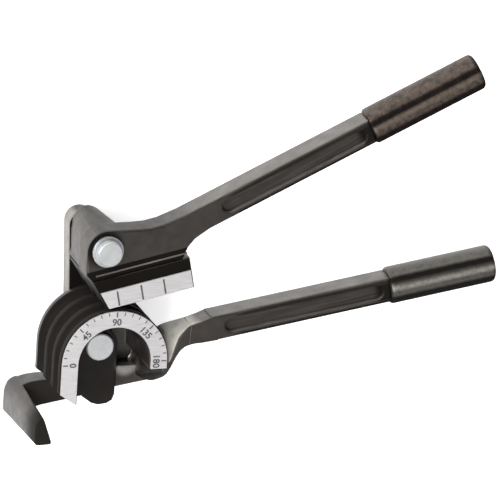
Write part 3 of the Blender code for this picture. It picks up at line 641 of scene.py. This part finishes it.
def close_prism(bm, first, last):
    """Add the sides and the two ends between two outlines with as many points."""
    for i in range(len(first)):
        j = (i + 1) % len(first)
        bm.faces.new((first[i], first[j], last[j], last[i]))
    bm.faces.new(list(reversed(first)))
    bm.faces.new(last)


def peak(value, centre, half):
    """1 at the centre, falling evenly to 0 at half a width from it."""
    return max(0.0, 1 - abs(value - centre) / half)


def clamp(value):
    """A value kept between 0 and 1."""
    return min(1.0, max(0.0, value))


def grip_radius(bar, z):
    """The plain radius of a grip at a distance from its start."""
    if z < GRIP_CHAMFER:
        return GRIP_RADIUS - GRIP_CHAMFER_SLOPE * (GRIP_CHAMFER - z)
    rounded = max(0.0, z - bar.grip_length + GRIP_ROUND)
    return GRIP_RADIUS - GRIP_ROUND + sqrt(GRIP_ROUND * GRIP_ROUND - rounded * rounded)


def grip_levels(bar):
    """The distances of a grip's rings from its start: the knurl's rows, then the rounded end."""
    straight = bar.grip_length - GRIP_ROUND
    rows = round(straight / (tau * GRIP_RADIUS / KNURL_POINTS))
    knurl = [KNURL_START + (straight - KNURL_START) * k / rows for k in range(rows + 1)]
    turns = [pi / 2 * k / GRIP_ROUND_STEPS for k in range(1, GRIP_ROUND_STEPS + 1)]
    return knurl + [straight + GRIP_ROUND * sin(turn) for turn in turns]


def skin_rings(bm, rings):
    """Join rings by triangles whose diagonals alternate, and close both ends."""
    for k in range(len(rings) - 1):
        for i in range(KNURL_POINTS):
            j = (i + 1) % KNURL_POINTS
            corners = [rings[k][i], rings[k + 1][i], rings[k + 1][j], rings[k][j]]
            if (i + k) % 2:
                corners = corners[1:] + corners[:1]
            bm.faces.new(corners[:3])
            bm.faces.new((corners[0], corners[2], corners[3]))
    bm.faces.new(rings[0])
    bm.faces.new(list(reversed(rings[-1])))


def mark_grip(bm, marks, bar, start):
    """Write into a grip's marks where it gets a painted sheen band, and where it is matt with painted
    shade.
    """
    along, across = axes_at(bar.angle)
    for face in bm.faces:
        for loop in face.loops:
            arm = loop.vert.co - start
            turn = atan2(arm.dot(across), arm.z)
            line = clamp(LINE_STRENGTH * peak(turn, bar.groove_angle, LINE_HALF))
            end = clamp((arm.dot(along) - bar.grip_length + DARK_END) / DARK_END)
            under = clamp((UNDER_START - turn) / UNDER_FADE)
            loop[marks].uv = (peak(turn, SHEEN_MIDDLE, SHEEN_HALF), max(line, end, under))


def knurled_grip(node, bar, body, depth, material):
    """A round sleeve with a fine diamond knurl, a lengthwise groove and a rounded end."""
    along, across = axes_at(bar.angle)
    start = Vector((0, bar.offset, BAR_MIDDLE)) + along * bar.grip_start
    bm = bmesh.new()
    marks = bm.loops.layers.uv.new("marks")
    rings = []
    for k, z in enumerate(grip_levels(bar)):
        ring = []
        for i in range(KNURL_POINTS):
            turn = tau * i / KNURL_POINTS
            groove = GROOVE_DEPTH * peak(turn, bar.groove_angle, GROOVE_HALF)
            radius = grip_radius(bar, z) - groove - depth * ((i + k) % 2)
            outward = Vector((0, 0, cos(turn))) + across * sin(turn)
            ring.append(bm.verts.new(start + along * z + outward * radius))
        rings.append(ring)
    skin_rings(bm, rings)
    mark_grip(bm, marks, bar, start)
    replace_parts(finish_piece(node + "_sleeve", bm, material, body), node)


def dress_grips():
    """The two knurled sleeves, each in its own rubber."""
    lower = grip_rubber("lower_rubber", *LOWER_RUBBER, LOWER_PAINTED_SHEEN, LOWER_RUBBER_IOR)
    upper = grip_rubber("upper_rubber", *UPPER_RUBBER, UPPER_PAINTED_SHEEN, UPPER_RUBBER_IOR)
    knurled_grip("lower_grip", LOWER_BAR, "die", LOWER_KNURL, lower)
    knurled_grip("upper_grip", UPPER_BAR, "lever", UPPER_KNURL, upper)


def head_lip():
    """The thin lip that stands out of the head's step of painted shade, above the shoe, in a lighter paint
    as a painted highlight.
    """
    along, up = axes_at(SHOE_ANGLE)
    bm = bmesh.new()
    ends = []
    for end in LIP_ENDS:
        ends.append([bm.verts.new(along * end + up * height + Vector((0, 0, DIE_FRONT + out)))
                     for height, out in LIP_PROFILE])
    close_prism(bm, *ends)
    finish_piece("head_lip", bm, painted_casting("lip_painted_highlight", *LIP_PAINTED_HIGHLIGHT), "lever")


def printed_line(bm, centre, angle, length, width):
    """Add one printed line, centred on a point of a scale."""
    along, across = axes_at(angle)
    layers = []
    for lift in (LINE_LIFT, LINE_LIFT + LINE_THICKNESS):
        middle = Vector((*centre, SCALE_FACE + lift))
        layers.append([bm.verts.new(middle + along * (u * length / 2) + across * (v * width / 2))
                       for u, v in ((-1, -1), (1, -1), (1, 1), (-1, 1))])
    close_prism(bm, *layers)


def numeral(text, centre, angle, material):
    """A printed word of generic numerals, as a mesh lying on the degree scale."""
    curve = bpy.data.curves.new("numeral_" + text, "FONT")
    curve.body = text
    curve.size = NUMERAL_SIZE
    curve.align_x = "CENTER"
    curve.align_y = "CENTER"
    curve.extrude = NUMERAL_HALF_DEPTH
    curve.resolution_u = 4
    curve.offset = NUMERAL_WEIGHT
    temporary = bpy.data.objects.new("numeral_curve", curve)
    bpy.context.scene.collection.objects.link(temporary)
    bpy.context.view_layer.update()
    mesh = bpy.data.meshes.new_from_object(temporary)
    bpy.data.objects.remove(temporary)
    mesh.name = "degree_scale_numeral_" + text
    place = Matrix.Translation((*centre, SCALE_FACE + NUMERAL_LIFT))
    mesh.transform(place @ Matrix.Rotation(angle, 4, "Z"))
    add_piece(mesh.name, mesh, material, "die")


def print_degrees(material):
    """Lines and numerals round the degree scale, from 0 on its left to 180 on its right."""
    bm = bmesh.new()
    for degrees in range(0, LAST_DEGREE + 1, LINE_STEP):
        angle = radians(LAST_DEGREE - degrees)
        length, width = SHORT_LINE if degrees % NUMERAL_STEP else LONG_LINE
        centre = axes_at(angle)[0] * (LINES_EDGE - length / 2)
        printed_line(bm, centre.xy, angle, length, width)
    finish_piece("degree_lines", bm, material, "die")
    for degrees in range(0, LAST_DEGREE + 1, NUMERAL_STEP):
        angle = radians(LAST_DEGREE - degrees)
        centre = axes_at(angle)[0] * NUMERAL_RADIUS
        numeral(str(degrees), centre.xy, angle - pi / 2, material)


def print_shoe(material):
    """Three lines across the shoe's scale, where a tube's mark is set."""
    along, up = axes_at(SHOE_ANGLE)
    bm = bmesh.new()
    for place in SHOE_LINE_PLACES:
        centre = along * place + up * SHOE_LINE_HEIGHT
        printed_line(bm, centre.xy, SHOE_ANGLE + pi / 2, *SHOE_LINE)
    finish_piece("shoe_lines", bm, material, "lever")


def add_floor():
    """A plain pale floor that glows a little where it is seen."""
    bpy.ops.mesh.primitive_plane_add(size=FLOOR_SIZE)
    floor = bpy.context.object
    floor.name = "floor"
    floor.location.z = FLOOR_LEVEL
    s = Shader("floor_white")
    s.put(Base_Color=s.ramp(s.noise(3.0), (0.3, 0.80), (0.7, 0.84)), Roughness=0.9)
    glow = s.node("Emission", Strength=s.times(s.seen(), FLOOR_GLOW))
    both = s.node("AddShader", i0=s.surface.outputs["BSDF"], i1=glow.outputs["Emission"])
    s.fill(s.tree.nodes["Material Output"].inputs["Surface"], both.outputs["Shader"])
    floor.data.materials.append(s.material)


def add_world():
    """An even white world, dimmer where it is seen."""
    world = bpy.data.worlds.new("studio_world")
    bpy.context.scene.world = world
    world.use_nodes = True
    t = Tree(world.node_tree)
    background = t.tree.nodes["Background"].inputs
    t.fill(background["Color"], rgba(1.0))
    level = t.maths("MULTIPLY_ADD", t.seen(), WORLD_SEEN - WORLD_UNSEEN, WORLD_UNSEEN)
    t.fill(background["Strength"], level)


def add_lamps():
    """A key, a top light, a long strip, a faint sheen and a fill, all aimed at the tool."""
    for lamp in LAMPS:
        data = bpy.data.lights.new(lamp.name, "AREA")
        data.shape = "RECTANGLE"
        data.size = lamp.width
        data.size_y = lamp.height
        data.energy = lamp.power
        made = bpy.data.objects.new(lamp.name, data)
        bpy.context.scene.collection.objects.link(made)
        made.location = lamp.place
        made.rotation_mode = "QUATERNION"
        made.rotation_quaternion = (LAMP_AIM - made.location).to_track_quat("-Z", "Y")


def set_camera():
    """The photo's long-lens view, from the scale side, a little left and above."""
    back = CAMERA_FROM.normalized()
    up = (CAMERA_UP - back * CAMERA_UP.dot(back)).normalized()
    right = up.cross(back)
    data = bpy.data.cameras.new("camera")
    data.sensor_width = SENSOR_WIDTH
    data.lens = PIXELS_PER_METRE * data.sensor_width * CAMERA_DISTANCE / PHOTO_WIDTH
    data.clip_end = CAMERA_REACH
    camera = bpy.data.objects.new("camera", data)
    bpy.context.scene.collection.objects.link(camera)
    turn = Matrix((right, up, back)).transposed().to_4x4()
    camera.matrix_world = Matrix.Translation(CAMERA_AIM + back * CAMERA_DISTANCE) @ turn
    bpy.context.scene.camera = camera


set_camera()
dress_nodes()
dress_grips()
head_lip()
scale_ink = ink("scale_ink")
print_degrees(scale_ink)
print_shoe(scale_ink)
add_floor()
add_world()
add_lamps()
bpy.context.scene.view_settings.view_transform = "Standard"
